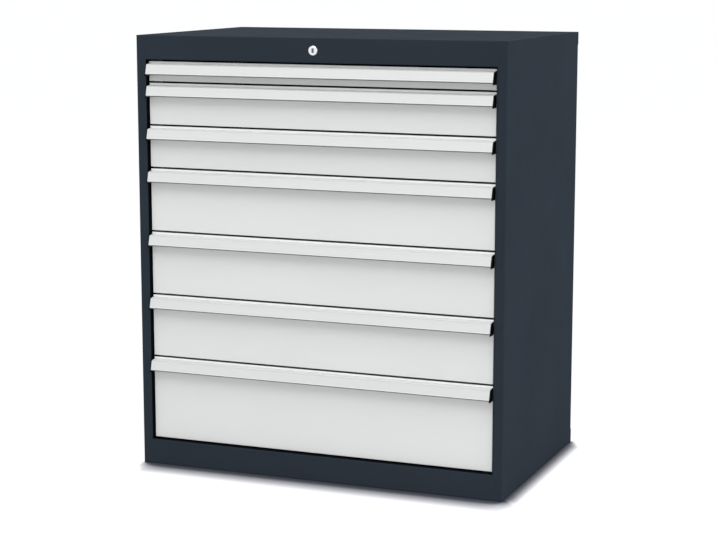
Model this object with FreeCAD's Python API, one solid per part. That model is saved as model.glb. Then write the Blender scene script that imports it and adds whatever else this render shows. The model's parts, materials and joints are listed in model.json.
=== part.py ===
import FreeCAD, Part
import math
import os

# Workshop drawer cabinet: a folded sheet-steel housing with seven full-extension drawers
# in four heights, a full-width grip on every drawer and one central lock.
# Frame: X to the right, Y from the front to the back, Z up, in millimetres.
# The origin is the middle of the bounding box, on the floor.

# Housing
cabinet_width = 900.0
cabinet_depth = 570.0
bottom_rail_height = 60.0
top_rail_height = 56.0
post_width = 24.0
housing_sheet = 1.5
housing_bend = 1.0
rail_return = 25.0
rail_lip = 12.0
post_return = 28.0
top_skirt_height = 31.0
base_skirt_height = 33.0
mitre_gap = 0.3
side_rear_flange = 22.0
side_end_flange = 15.0
side_flange_inset = 10.0
back_sheet = 1.0
back_edge_gap = 0.3

# Drawers, from the top one down: the height of the zone that each one fills
drawer_pitches = [50.0, 100.0, 100.0, 150.0, 150.0, 150.0, 200.0]
zone_margin = 2.0
front_gap = 4.0
front_side_gap = 3.5
front_recess = 10.0
front_sheet = 1.2
front_bend = 2.0
front_return = 15.0
box_sheet = 1.0
box_bend = 1.0
box_hem = 8.0
box_front_gap = 2.8
box_rear_space = 30.0

# Grip: a bent profile over the full width, under a narrow lip of the front
grip_sheet = 2.0
grip_bend = 0.6
grip_lip = 4.5
grip_leg = 14.0
grip_flange_reach = 16.8
grip_flange_drop = 2.1
grip_face_height = 24.3
grip_face_lean = 7.3
grip_hook = 4.5
cap_sheet = 1.5
cap_drop = 3.0
cap_spigot_length = 10.0
cap_spigot_wall = 2.0
cap_spigot_gap = 0.3
cap_spigot_inset = 3.0

# Telescopic slides: a cabinet rail, a mid rail and a drawer rail, one inside the other
slide_sheet = 1.5
slide_play = 0.4
slide_width = 19.5
slide_half_height = 15.0
slide_start = 39.5
slide_rear_space = 30.5
slide_level = 22.0
cabinet_rail_reach = 14.0
cabinet_rail_mouth = 10.5
mid_rail_mouth = 7.4
drawer_rail_half_height = 7.0
slide_post_gap = 1.5
catch_sheet = 3.0
catch_gap = 0.8
catch_reach = 12.0
catch_play = 1.5

# Slotted uprights behind the posts and near the back, which carry the cabinet rails
upright_sheet = 1.5
upright_width = 30.0
upright_lip = 10.0
front_upright_inset = 48.0
rear_upright_inset = 75.0
slot_pitch = 50.0
slot_width = 5.0
slot_height = 12.0
tab_play = 0.5
tab_reach = 3.0

# Lock in the top rail: a cylinder whose crank drives a push bar and a locking bar
lock_offset = -4.0
bezel_radius = 12.0
bezel_height = 3.0
bezel_edge = 0.8
barrel_radius = 9.0
barrel_length = 22.0
barrel_hole_gap = 0.2
nut_width = 24.0
nut_height = 5.0
core_radius = 6.5
core_proud = 0.4
running_gap = 0.05
keyway_width = 2.0
keyway_height = 9.0
keyway_depth = 8.0
tang_width = 8.0
cam_gap = 0.4
cam_sheet = 3.0
cam_hub_radius = 8.0
cam_tip_radius = 4.5
crank_radius = 8.5
pin_radius = 2.5
pin_play = 0.4

# Bars of the central lock
bar_sheet = 3.0
bar_gap = 1.5
push_bar_height = 24.0
push_bar_low = 8.0
push_bar_end = 12.0
push_pin_drop = 2.0
guide_sheet = 1.5
guide_gap = 0.3
guide_length = 15.0
push_guide_places = [100.0, 300.0]
locking_bar_width = 14.0
locking_bar_wall_gap = 4.5
locking_bar_foot = 6.0
head_wall = 8.0
head_overhang = 1.8
hook_reach = 20.0
hook_height = 6.0
hook_rail_gap = 0.9
locking_guide_drawers = [2, 5, 7]

# Positions that follow from the sizes above
usable_height = sum(drawer_pitches)
cabinet_height = bottom_rail_height + zone_margin + usable_height + zone_margin + top_rail_height
half_width = cabinet_width / 2
opening_half = half_width - post_width
inner_half = half_width - housing_sheet
zone_floor = bottom_rail_height + zone_margin
face_slope = grip_face_lean / grip_face_height
grip_reach = grip_flange_reach + face_slope * (grip_face_height + cap_drop)
front_y = (grip_reach - front_recess - cabinet_depth) / 2
rear_y = front_y + cabinet_depth
drawer_y = front_y + front_recess
front_half = opening_half - front_side_gap
grip_half = front_half - cap_sheet
slide_back = opening_half - slide_post_gap
rail_wall = slide_sheet + slide_play
box_half = slide_back - slide_width
box_front_y = drawer_y + front_sheet
box_rear_y = rear_y - box_rear_space
slide_front_y = front_y + slide_start
slide_rear_y = rear_y - slide_rear_space
upright_starts = [front_y + front_upright_inset, rear_y - rear_upright_inset]
lock_level = cabinet_height - top_rail_height / 2
cam_front_y = front_y + barrel_length + cam_gap
push_bar_y = cam_front_y + cam_sheet + bar_gap
locking_bar_y = push_bar_y + bar_sheet + bar_gap
crank_throw = crank_radius * math.sqrt(2)
crank_half = crank_throw / 2
push_pin_level = lock_level - push_pin_drop
locking_bar_right = inner_half - locking_bar_wall_gap
locking_bar_left = locking_bar_right - locking_bar_width
push_pin_x = locking_bar_right + head_overhang - head_wall - crank_throw


# Shapes


def spot(axis, level, a, b):
    """Point of a flat outline that is square to one axis."""
    if axis == "X":
        return FreeCAD.Vector(level, a, b)
    if axis == "Y":
        return FreeCAD.Vector(a, level, b)
    return FreeCAD.Vector(a, b, level)


def outline(axis, level, corners):
    """Closed wire through corners (a, b, radius), each rounded to its radius."""
    count = len(corners)
    points = [spot(axis, level, a, b) for a, b, radius in corners]
    arcs = []
    for place in range(count):
        point = points[place]
        radius = corners[place][2]
        if radius <= 0:
            arcs.append((point, None, point))
            continue
        back = (points[place - 1] - point).normalize()
        ahead = (points[(place + 1) % count] - point).normalize()
        half_angle = back.getAngle(ahead) / 2
        run = radius / math.tan(half_angle)
        inward = (back + ahead).normalize()
        centre = point + inward * (radius / math.sin(half_angle))
        arcs.append((point + back * run, centre - inward * radius, point + ahead * run))
    edges = []
    for place in range(count):
        entry, middle, leave = arcs[place]
        following = arcs[(place + 1) % count][0]
        if middle is not None:
            edges.append(Part.Arc(entry, middle, leave).toShape())
        if (following - leave).Length > 1e-6:
            edges.append(Part.LineSegment(leave, following).toShape())
    return Part.Wire(edges)


def prism(axis, corners, start, end):
    """Outline square to one axis, carried from start to end along it."""
    travel = spot(axis, end - start, 0, 0)
    return Part.Face(outline(axis, start, corners)).extrude(travel)


def block(x_low, x_high, y_low, y_high, z_low, z_high):
    return Part.makeBox(
        x_high - x_low, y_high - y_low, z_high - z_low, FreeCAD.Vector(x_low, y_low, z_low)
    )


def rod(radius, x, z, y_start, y_end):
    """Round bar along Y."""
    start = FreeCAD.Vector(x, y_start, z)
    return Part.makeCylinder(radius, y_end - y_start, start, FreeCAD.Vector(0, 1, 0))


def offset_path(path, distance):
    """Open path moved sideways, to its left where distance is positive."""
    normals = []
    for start, end in zip(path, path[1:]):
        run = math.dist(start, end)
        normals.append(((start[1] - end[1]) / run, (end[0] - start[0]) / run))
    moved = []
    for place, point in enumerate(path):
        before = normals[max(place - 1, 0)]
        after = normals[min(place, len(normals) - 1)]
        spread = 1 + before[0] * after[0] + before[1] * after[1]
        moved.append((
            point[0] + distance * (before[0] + after[0]) / spread,
            point[1] + distance * (before[1] + after[1]) / spread,
        ))
    return moved


def towards(start, end, distance):
    """Point that far along the line from start to end."""
    share = distance / math.dist(start, end)
    return (start[0] + share * (end[0] - start[0]), start[1] + share * (end[1] - start[1]))


def folded(path, thickness, bend):
    """Corners of a folded sheet: one skin follows path, the other lies thickness to its left."""
    other = offset_path(path, thickness)
    skin = [(path[0][0], path[0][1], 0)]
    far_skin = [(other[0][0], other[0][1], 0)]
    for place in range(1, len(path) - 1):
        before, point, after = path[place - 1:place + 2]
        turn = (point[0] - before[0]) * (after[1] - point[1]) - (point[1] - before[1]) * (after[0] - point[0])
        outer = bend + abs(thickness) if bend > 0 else 0
        tight_side_is_path = turn * thickness < 0
        skin.append((point[0], point[1], bend if tight_side_is_path else outer))
        far_skin.append((other[place][0], other[place][1], outer if tight_side_is_path else bend))
    skin.append((path[-1][0], path[-1][1], 0))
    far_skin.append((other[-1][0], other[-1][1], 0))
    return skin + far_skin[::-1]


def mirrored(shape):
    """Copy on the other side of the cabinet's middle plane."""
    return shape.mirror(FreeCAD.Vector(0, 0, 0), FreeCAD.Vector(1, 0, 0))


def slot_between(x_start, z_start, x_end, z_end, radius, y_start, y_end):
    """Round-ended slot through a plate that is square to Y."""
    run = math.dist((x_start, z_start), (x_end, z_end))
    side_x = (z_start - z_end) / run * radius
    side_z = (x_end - x_start) / run * radius
    corners = [
        (x_start + side_x, z_start + side_z, 0),
        (x_end + side_x, z_end + side_z, 0),
        (x_end - side_x, z_end - side_z, 0),
        (x_start - side_x, z_start - side_z, 0),
    ]
    middle = prism("Y", corners, y_start, y_end)
    ends = [rod(radius, x_start, z_start, y_start, y_end), rod(radius, x_end, z_end, y_start, y_end)]
    return middle.fuse(ends).removeSplitter()


def save(node, shapes):
    """Write one node's separate solids to its file."""
    solids = [solid for shape in shapes for solid in shape.Solids]
    whole = solids[0] if len(solids) == 1 else Part.makeCompound(solids)
    whole.exportStep("parts/" + node + ".step")
    volume = sum(solid.Volume for solid in solids)
    print(node, "solids", len(solids), "volume_cm3", round(volume / 1000, 1))


# Housing


def mitre_x(depth_from_end, rail_height):
    """Where the mitre between rail and post lies, that far in from the top or the base."""
    return half_width - depth_from_end * post_width / rail_height


def end_pan(end_level, inward, rail_height, skirt_height):
    """Top or base: one sheet with a front rail, its return and lip, and a rear skirt."""
    path = [
        (rear_y, end_level + inward * skirt_height),
        (rear_y, end_level),
        (front_y, end_level),
        (front_y, end_level + inward * rail_height),
        (front_y + rail_return, end_level + inward * rail_height),
        (front_y + rail_return, end_level + inward * (rail_height - rail_lip)),
    ]
    pan = prism("X", folded(path, -inward * housing_sheet, housing_bend), -half_width, half_width)
    near = housing_sheet
    far = rail_height + post_width
    corners = [
        (mitre_x(near, rail_height) - mitre_gap, end_level + inward * near, 0),
        (half_width + post_width, end_level + inward * near, 0),
        (half_width + post_width, end_level + inward * far, 0),
        (mitre_x(far, rail_height) - mitre_gap, end_level + inward * far, 0),
    ]
    mitre = prism("Y", corners, front_y - housing_sheet, front_y + post_return + housing_sheet)
    return pan.cut([mitre, mirrored(mitre)])


def top_panel():
    pan = end_pan(cabinet_height, -1, top_rail_height, top_skirt_height)
    hole_radius = barrel_radius + barrel_hole_gap
    hole = rod(hole_radius, lock_offset, lock_level, front_y - housing_sheet, front_y + 2 * housing_sheet)
    return pan.cut(hole)


def base_pan():
    return end_pan(0.0, 1, bottom_rail_height, base_skirt_height)


def post_mitre(end_level, inward, rail_height):
    """What the front rail takes from the end of the right post."""
    corners = [
        (half_width, end_level, 0),
        (opening_half - post_width, end_level, 0),
        (opening_half - post_width, end_level + inward * rail_height, 0),
        (opening_half, end_level + inward * rail_height, 0),
    ]
    return prism("Y", corners, front_y - housing_sheet, front_y + post_return + housing_sheet)


def corner_relief(low, high):
    """Notch in the rear flange's end, clear of the bend of the skirt behind it."""
    outer_x = half_width + housing_sheet
    return block(
        half_width - side_rear_flange - housing_sheet, outer_x,
        rear_y - housing_sheet - housing_bend - housing_sheet, rear_y, low, high,
    )


def side_panel():
    """Right side wall, folded in front into the post and at the back into a relieved flange."""
    wall_rear_y = rear_y - housing_sheet
    path = [
        (opening_half, front_y + post_return),
        (opening_half, front_y),
        (half_width, front_y),
        (half_width, wall_rear_y),
        (half_width - side_rear_flange, wall_rear_y),
    ]
    low = housing_sheet
    high = cabinet_height - housing_sheet
    panel = prism("Z", folded(path, housing_sheet, housing_bend), low, high)
    flange_front = front_y + post_return + side_flange_inset
    flange_rear = rear_y - side_flange_inset
    flange_left = half_width - side_end_flange
    flanges = [
        block(flange_left, inner_half, flange_front, flange_rear, low, low + housing_sheet),
        block(flange_left, inner_half, flange_front, flange_rear, high - housing_sheet, high),
    ]
    panel = panel.cut([
        post_mitre(0.0, 1, bottom_rail_height),
        post_mitre(cabinet_height, -1, top_rail_height),
        corner_relief(low, low + housing_bend),
        corner_relief(high - housing_bend, high),
    ])
    return panel.fuse(flanges).removeSplitter()


def back_panel():
    """Flat sheet inside the rear flanges of the side walls."""
    back_y = rear_y - 2 * housing_sheet
    half = inner_half - housing_bend - back_edge_gap
    return block(-half, half, back_y - back_sheet, back_y, housing_sheet, cabinet_height - housing_sheet)


def slot_levels():
    """Heights of the upright slots: one at the level of every possible slide."""
    count = int(round(usable_height / slot_pitch))
    return [zone_floor + slide_level + slot_pitch * step for step in range(count)]


def upright(start_y):
    """Hat section on the right side wall, with a row of slots for the cabinet rails."""
    lip_x = inner_half - upright_sheet
    path = [
        (lip_x, start_y - upright_lip),
        (lip_x, start_y),
        (slide_back, start_y),
        (slide_back, start_y + upright_width),
        (lip_x, start_y + upright_width),
        (lip_x, start_y + upright_width + upright_lip),
    ]
    low = 2 * housing_sheet
    hat = prism("Z", folded(path, -upright_sheet, 0), low, cabinet_height - low)
    middle_y = start_y + upright_width / 2
    slots = []
    for level in slot_levels():
        slots.append(block(
            slide_back - upright_sheet, slide_back + 2 * upright_sheet,
            middle_y - slot_width / 2, middle_y + slot_width / 2,
            level - slot_height / 2, level + slot_height / 2,
        ))
    return hat.cut(slots)


# Telescopic slides


def slide_section(path, thickness, level, lead=0.0):
    """Right-hand rail: path is given from the drawer's side outwards and about the rail's middle."""
    placed = [(box_half + reach, level + height) for reach, height in path]
    return prism("Y", folded(placed, thickness, 0), slide_front_y - lead, slide_rear_y)


def channel_path(near, far, half_height, mouth):
    """Channel that opens towards the drawer, with lips turned in over its mouth."""
    return [
        (near, mouth),
        (near, half_height),
        (far, half_height),
        (far, -half_height),
        (near, -half_height),
        (near, -mouth),
    ]


def cabinet_rail(level):
    """Fixed rail with two tabs that hook into the slots of the uprights."""
    near = slide_width - cabinet_rail_reach
    path = channel_path(near, slide_width, slide_half_height, cabinet_rail_mouth)
    rail = slide_section(path, -slide_sheet, level)
    tabs = []
    for start_y in upright_starts:
        middle_y = start_y + upright_width / 2
        half_tab = slot_width / 2 - tab_play
        half_tall = slot_height / 2 - tab_play
        tabs.append(block(
            slide_back, slide_back + upright_sheet + tab_reach,
            middle_y - half_tab, middle_y + half_tab, level - half_tall, level + half_tall,
        ))
    return rail.fuse(tabs)


def mid_rail(level):
    """Running rail between the fixed one and the drawer's."""
    near = slide_width - cabinet_rail_reach + rail_wall
    path = channel_path(near, slide_width - rail_wall, slide_half_height - rail_wall, mid_rail_mouth)
    return slide_section(path, -slide_sheet, level)


def drawer_rail(level, lead=0.0):
    """Rail on the drawer's side, whose outer lips are caught behind those of the mid rail."""
    neck = slide_width - cabinet_rail_reach + 2 * rail_wall
    lip_height = slide_half_height - 2 * rail_wall
    path = [
        (neck, lip_height),
        (neck, drawer_rail_half_height),
        (0, drawer_rail_half_height),
        (0, -drawer_rail_half_height),
        (neck, -drawer_rail_half_height),
        (neck, -lip_height),
    ]
    return slide_section(path, slide_sheet, level, lead)


def catch_rail(level):
    """Right drawer rail with the plate on its front end that a raised hook stands in front of."""
    plate_front = slide_front_y - catch_gap - catch_sheet
    low = level - slide_level - front_gap / 2 + catch_play
    high = level + slide_half_height - 2 * rail_wall
    plate = block(
        box_half, box_half + catch_reach, plate_front, plate_front + catch_sheet, low, high
    )
    return drawer_rail(level, catch_gap).fuse(plate).removeSplitter()


# Drawers


def drawer_front(low, high):
    """Front sheet folded back on all four sides."""
    tray = block(-front_half, front_half, drawer_y, drawer_y + front_return, low, high)
    front_edges = []
    for edge in tray.Edges:
        if abs(edge.BoundBox.YMax - drawer_y) < 1e-6:
            front_edges.append(edge)
    tray = tray.makeFillet(front_bend, front_edges)
    hollow = block(
        -front_half + front_sheet, front_half - front_sheet,
        drawer_y + front_sheet, drawer_y + 2 * front_return, low + front_sheet, high - front_sheet,
    )
    return tray.cut(hollow)


def drawer_box(low, high):
    """Open tray: floor, four walls, and a hem turned in along the top."""
    bend_outer = box_sheet + box_bend
    path = [(-box_half, high), (-box_half, low), (box_half, low), (box_half, high)]
    trough = prism("Y", folded(path, box_sheet, box_bend), box_front_y, box_rear_y)
    wall = [
        (-box_half, high, 0),
        (-box_half, low, bend_outer),
        (box_half, low, bend_outer),
        (box_half, high, 0),
    ]
    hem_frame = block(-box_half, box_half, box_front_y, box_rear_y, high - box_sheet, high)
    hem_mouth = block(
        -box_half + box_hem, box_half - box_hem,
        box_front_y + box_hem, box_rear_y - box_hem, low, high + box_hem,
    )
    pieces = [
        prism("Y", wall, box_front_y, box_front_y + box_sheet),
        prism("Y", wall, box_rear_y - box_sheet, box_rear_y),
        hem_frame.cut(hem_mouth),
    ]
    return trough.fuse(pieces).removeSplitter()


def grip_path(top):
    """Outer skin of the grip, from its leg on the front to the hook under its face."""
    root = top - grip_lip
    edge = root - grip_flange_drop
    foot = edge - grip_face_height
    foot_y = drawer_y - grip_flange_reach - grip_face_lean
    return [
        (drawer_y, root - grip_leg),
        (drawer_y, root),
        (drawer_y - grip_flange_reach, edge),
        (foot_y, foot),
        (foot_y + grip_hook, foot),
    ]


def grip(top):
    """Profile over the full width of the front, open below for the fingers."""
    return prism("X", folded(grip_path(top), grip_sheet, grip_bend), -grip_half, grip_half)


def end_cap(top):
    """Right-hand cap: a plate that closes the profile's end and a spigot inside it."""
    path = grip_path(top)
    root, edge, foot = path[1], path[2], path[3]
    bottom = foot[1] - cap_drop
    plate_corners = [
        (root[0], root[1], 0),
        (edge[0], edge[1], grip_bend + grip_sheet),
        (foot[0] - face_slope * cap_drop, bottom, 0),
        (root[0], bottom, 0),
    ]
    plate = prism("X", plate_corners, grip_half, front_half)
    inner = offset_path([root, edge, foot], grip_sheet + cap_spigot_gap)
    spigot_path = [
        towards(inner[0], inner[1], grip_sheet + cap_spigot_inset),
        inner[1],
        towards(inner[2], inner[1], grip_sheet + cap_spigot_inset),
    ]
    spigot = prism("X", folded(spigot_path, cap_spigot_wall, 0), grip_half - cap_spigot_length, grip_half)
    return plate.fuse(spigot).removeSplitter()


# Lock


def lock_barrel():
    """Fixed cylinder with a chamfered bezel in front of the rail."""
    bezel = rod(bezel_radius, lock_offset, lock_level, front_y - bezel_height, front_y)
    rim = [edge for edge in bezel.Edges if abs(edge.BoundBox.YMax - front_y + bezel_height) < 1e-6]
    bezel = bezel.makeChamfer(bezel_edge, rim)
    body = rod(barrel_radius, lock_offset, lock_level, front_y, front_y + barrel_length)
    bore_radius = core_radius + running_gap
    start = front_y - 2 * bezel_height
    bore = rod(bore_radius, lock_offset, lock_level, start, front_y + 2 * barrel_length)
    return bezel.fuse(body).cut(bore)


def lock_nut():
    """Hexagon nut behind the rail."""
    corner_reach = nut_width / math.sqrt(3)
    corners = []
    for step in range(6):
        angle = math.radians(60 * step)
        corners.append((
            lock_offset + corner_reach * math.cos(angle), lock_level + corner_reach * math.sin(angle), 0
        ))
    start = front_y + housing_sheet
    nut = prism("Y", corners, start, start + nut_height)
    hole_radius = barrel_radius + barrel_hole_gap
    hole = rod(hole_radius, lock_offset, lock_level, front_y, start + 2 * nut_height)
    return nut.cut(hole)


def lock_core():
    """Turning core with its keyway, and a square tang for the crank."""
    start = front_y - bezel_height - core_proud
    core = rod(core_radius, lock_offset, lock_level, start, front_y + barrel_length)
    half = tang_width / 2
    tang = block(
        lock_offset - half, lock_offset + half,
        front_y + barrel_length, cam_front_y + cam_sheet, lock_level - half, lock_level + half,
    )
    keyway = block(
        lock_offset - keyway_width / 2, lock_offset + keyway_width / 2,
        start - core_proud, start + keyway_depth,
        lock_level - keyway_height / 2, lock_level + keyway_height / 2,
    )
    return core.fuse(tang).cut(keyway)


def lock_cam():
    """Crank on the tang. Unlocked, its pin stands up and to the left at 45 degrees."""
    rear = cam_front_y + cam_sheet
    pin_x = lock_offset - crank_half
    pin_z = lock_level + crank_half
    hub = rod(cam_hub_radius, lock_offset, lock_level, cam_front_y, rear)
    tip = rod(cam_tip_radius, pin_x, pin_z, cam_front_y, rear)
    arm = slot_between(lock_offset, lock_level, pin_x, pin_z, cam_tip_radius, cam_front_y, rear)
    pin = rod(pin_radius, pin_x, pin_z, rear, push_bar_y + bar_sheet + bar_gap / 2)
    half = tang_width / 2
    square = block(
        lock_offset - half, lock_offset + half,
        cam_front_y - cam_sheet, rear + cam_sheet, lock_level - half, lock_level + half,
    )
    return hub.fuse([tip, arm]).removeSplitter().cut(square).fuse(pin)


def push_bar():
    """Flat bar behind the top rail, driven by the crank pin, with a pin for the locking bar."""
    low = lock_level - push_bar_low
    rear = push_bar_y + bar_sheet
    bar = block(
        lock_offset - crank_half - push_bar_end, push_pin_x + push_bar_end / 2,
        push_bar_y, rear, low, low + push_bar_height,
    )
    crank_slot = slot_between(
        lock_offset - crank_half, lock_level + crank_half,
        lock_offset - crank_half, lock_level + crank_radius,
        pin_radius + pin_play, push_bar_y - bar_sheet, rear + bar_sheet,
    )
    pin = rod(pin_radius, push_pin_x, push_pin_level, rear, locking_bar_y + bar_sheet + bar_gap)
    return bar.cut(crank_slot).fuse(pin)


def hook_tops():
    """Level of each hook's top when the drawers are free. Raised, it stays under the mid rail."""
    mid_rail_bottom = rail_wall - slide_half_height
    return [level + mid_rail_bottom - hook_rail_gap - crank_throw for level in slide_levels]


def locking_bar():
    """Upright comb on the right: it rises and its hooks stand in front of the drawers' catches."""
    rear = locking_bar_y + bar_sheet
    head_low = push_pin_level - crank_throw - head_wall
    column = block(
        locking_bar_left, locking_bar_right, locking_bar_y, rear,
        min(hook_tops()) - hook_height - locking_bar_foot, head_low,
    )
    head = block(
        push_pin_x - head_wall, push_pin_x + crank_throw + head_wall, locking_bar_y, rear,
        head_low, push_pin_level + head_wall,
    )
    hooks = []
    for top in hook_tops():
        hooks.append(block(
            locking_bar_left - hook_reach, locking_bar_left, locking_bar_y, rear, top - hook_height, top
        ))
    cam_slot = slot_between(
        push_pin_x, push_pin_level, push_pin_x + crank_throw, push_pin_level - crank_throw,
        pin_radius + pin_play, locking_bar_y - bar_sheet, rear + bar_sheet,
    )
    return column.fuse([head] + hooks).removeSplitter().cut(cam_slot)


def push_bar_guide(place):
    """Staple under the top sheet, round the push bar."""
    low = lock_level - push_bar_low - guide_gap
    near = push_bar_y - guide_gap
    far = push_bar_y + bar_sheet + guide_gap
    ceiling = cabinet_height - housing_sheet
    path = [(near, ceiling), (near, low), (far, low), (far, ceiling)]
    return prism("X", folded(path, -guide_sheet, 0), place, place + guide_length)


def locking_bar_guide(level):
    """Staple on the right side wall, round the locking bar."""
    left = locking_bar_left - guide_gap
    near = locking_bar_y - guide_gap
    far = locking_bar_y + bar_sheet + guide_gap
    path = [(inner_half, near), (left, near), (left, far), (inner_half, far)]
    return prism("Z", folded(path, guide_sheet, 0), level - guide_length / 2, level + guide_length / 2)


# Levels of the drawer zones, from the top drawer down
zone_lows = []
zone_middles = []
zone_top = zone_floor + usable_height
for pitch in drawer_pitches:
    zone_top -= pitch
    zone_lows.append(zone_top)
    zone_middles.append(zone_top + pitch / 2)
slide_levels = [low + slide_level for low in zone_lows]

os.makedirs("parts", exist_ok=True)

right_side = side_panel()
save("right_side_panel", [right_side])
save("left_side_panel", [mirrored(right_side)])
save("top_panel", [top_panel()])
save("base_pan", [base_pan()])
save("back_panel", [back_panel()])

right_uprights = [upright(start_y) for start_y in upright_starts]
save("right_uprights", right_uprights)
save("left_uprights", [mirrored(piece) for piece in right_uprights])

right_rails = [cabinet_rail(level) for level in slide_levels]
save("right_cabinet_rails", right_rails)
save("left_cabinet_rails", [mirrored(piece) for piece in right_rails])

for number, (low, pitch) in enumerate(zip(zone_lows, drawer_pitches), start=1):
    name = "drawer_" + str(number)
    front_low = low + front_gap / 2
    front_high = low + pitch - front_gap / 2
    inset = front_sheet + box_front_gap
    level = low + slide_level
    cap = end_cap(front_high)
    outer_rail = mid_rail(level)
    drawer_rails = [catch_rail(level), mirrored(drawer_rail(level))]
    save(name + "_front", [drawer_front(front_low, front_high)])
    save(name + "_box", [drawer_box(front_low + inset, front_high - inset)])
    save(name + "_grip", [grip(front_high)])
    save(name + "_end_caps", [cap, mirrored(cap)])
    save(name + "_slide_rails", drawer_rails)
    save(name + "_mid_rails", [outer_rail, mirrored(outer_rail)])

save("lock_barrel", [lock_barrel()])
save("lock_nut", [lock_nut()])
save("lock_core", [lock_core()])
save("lock_cam", [lock_cam()])
save("lock_push_bar", [push_bar()])
save("locking_bar", [locking_bar()])
save("push_bar_guides", [push_bar_guide(place) for place in push_guide_places])
guide_levels = [zone_middles[drawer - 1] for drawer in locking_guide_drawers]
save("locking_bar_guides", [locking_bar_guide(level) for level in guide_levels])
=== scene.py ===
# %% [markdown]
# # Dressing a workshop drawer cabinet
# The cabinet is a folded sheet-steel housing with seven drawers. Its construction comes in as a
# fixed frame: every sheet, slide and lock piece at its real size, grouped into bodies that move
# together. This lesson gives each piece its finish, and models again the pieces that the eye rests
# on: the outer sheets, the drawer fronts, the grips with their end caps, the drawer boxes and the
# lock. All lengths are metres.

# %% Load the frame
import json
import math

import bmesh
import bpy
from mathutils import Matrix, Vector

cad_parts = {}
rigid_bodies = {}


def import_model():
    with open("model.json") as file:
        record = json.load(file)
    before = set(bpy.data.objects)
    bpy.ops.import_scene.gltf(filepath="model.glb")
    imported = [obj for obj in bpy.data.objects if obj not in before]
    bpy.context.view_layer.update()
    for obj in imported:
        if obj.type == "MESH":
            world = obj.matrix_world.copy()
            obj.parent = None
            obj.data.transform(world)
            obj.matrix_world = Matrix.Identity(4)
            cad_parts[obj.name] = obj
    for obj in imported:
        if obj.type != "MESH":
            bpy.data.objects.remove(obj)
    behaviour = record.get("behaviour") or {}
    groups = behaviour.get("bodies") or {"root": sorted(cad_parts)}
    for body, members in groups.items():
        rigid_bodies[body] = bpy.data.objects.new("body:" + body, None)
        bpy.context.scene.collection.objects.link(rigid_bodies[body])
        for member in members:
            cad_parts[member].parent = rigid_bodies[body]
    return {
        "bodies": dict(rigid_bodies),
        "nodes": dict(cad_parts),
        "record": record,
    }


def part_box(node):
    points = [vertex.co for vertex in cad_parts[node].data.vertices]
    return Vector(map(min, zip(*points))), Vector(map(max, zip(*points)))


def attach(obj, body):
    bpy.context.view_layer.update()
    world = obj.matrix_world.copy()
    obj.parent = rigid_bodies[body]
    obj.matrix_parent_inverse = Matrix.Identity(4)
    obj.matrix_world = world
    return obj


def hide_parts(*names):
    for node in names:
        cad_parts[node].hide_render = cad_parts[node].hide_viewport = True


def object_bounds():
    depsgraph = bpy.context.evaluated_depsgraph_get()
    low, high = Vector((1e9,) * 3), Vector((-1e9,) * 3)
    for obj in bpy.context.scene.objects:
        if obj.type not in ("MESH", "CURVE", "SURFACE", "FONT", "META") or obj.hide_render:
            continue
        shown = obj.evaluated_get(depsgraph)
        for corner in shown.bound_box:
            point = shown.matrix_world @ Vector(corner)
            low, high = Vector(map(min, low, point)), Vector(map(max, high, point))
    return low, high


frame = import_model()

cad_low, cad_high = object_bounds()
print("cabinet size", [round(high - low, 4) for low, high in zip(cad_low, cad_high)])

# %% [markdown]
# ## Camera
# The photograph was taken from the right of the front and a little above the top. Its vanishing
# lines fix where the camera stood, which way it looked and how long its lens was. We could point
# the camera with a constraint, but plain angles are easier to read and to reuse.

# %% Camera
IMAGE_WIDTH = 716
SENSOR_WIDTH = 36.0
FOCAL_PIXELS = 1850.6
CAMERA_PLACE = (1.6381, -4.0904, 1.1921)
LOOK_LEFT = 21.915
LOOK_DOWN = 9.521

camera_data = bpy.data.cameras.new("studio_camera")
camera_data.sensor_width = SENSOR_WIDTH
camera_data.lens = FOCAL_PIXELS * SENSOR_WIDTH / IMAGE_WIDTH
camera = bpy.data.objects.new("studio_camera", camera_data)
camera.location = CAMERA_PLACE
camera.rotation_euler = (math.radians(90 - LOOK_DOWN), 0, math.radians(LOOK_LEFT))
bpy.context.scene.collection.objects.link(camera)
bpy.context.scene.camera = camera
print("lens", round(camera_data.lens, 2), "mm")

# %% [markdown]
# ## Colours
# Colours are easiest to judge as screen values from 0 to 255, but shaders work in linear light, so
# one helper converts them. Another makes the darker and lighter versions that every finish mixes.

# %% Colour helpers
def channel(level):
    """Linear light of one screen value from 0 to 255."""
    value = level / 255
    return value / 12.92 if value <= 0.04045 else ((value + 0.055) / 1.055) ** 2.4


def colour(red, green, blue):
    return (channel(red), channel(green), channel(blue), 1.0)


def scaled(shade, share):
    """The same colour with that share of its light."""
    return tuple(value * share for value in shade[:3]) + (1,)


print("screen value 128 in linear light", round(channel(128), 3))

# %% [markdown]
# ## Nodes
# A finish is a tree of shader nodes. Such trees get long when each node is written out, so one
# helper adds a node with its settings and links, and a few more add the steps that every finish
# repeats: noise, a change of range, a product and a mixture.

# %% Node helpers
NOISE_SPAN = (0.3, 0.7)
FIRST_COLOUR, SECOND_COLOUR, MIXED_COLOUR = 6, 7, 2


def add_node(tree, kind, inputs=None, **settings):
    """New node with its settings, and with values or links for its named inputs."""
    made = tree.nodes.new(kind)
    for name, value in settings.items():
        setattr(made, name, value)
    for name, value in (inputs or {}).items():
        if isinstance(value, bpy.types.NodeSocket):
            tree.links.new(value, made.inputs[name])
        else:
            made.inputs[name].default_value = value
    return made


def noise(tree, place, scale, detail=2.0):
    made = add_node(
        tree, "ShaderNodeTexNoise", {"Vector": place, "Scale": scale, "Detail": detail}
    )
    return made.outputs["Fac"]


def remap(tree, value, from_low, from_high, to_low, to_high):
    made = add_node(tree, "ShaderNodeMapRange", {
        "Value": value,
        "From Min": from_low, "From Max": from_high, "To Min": to_low, "To Max": to_high,
    })
    return made.outputs["Result"]


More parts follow.
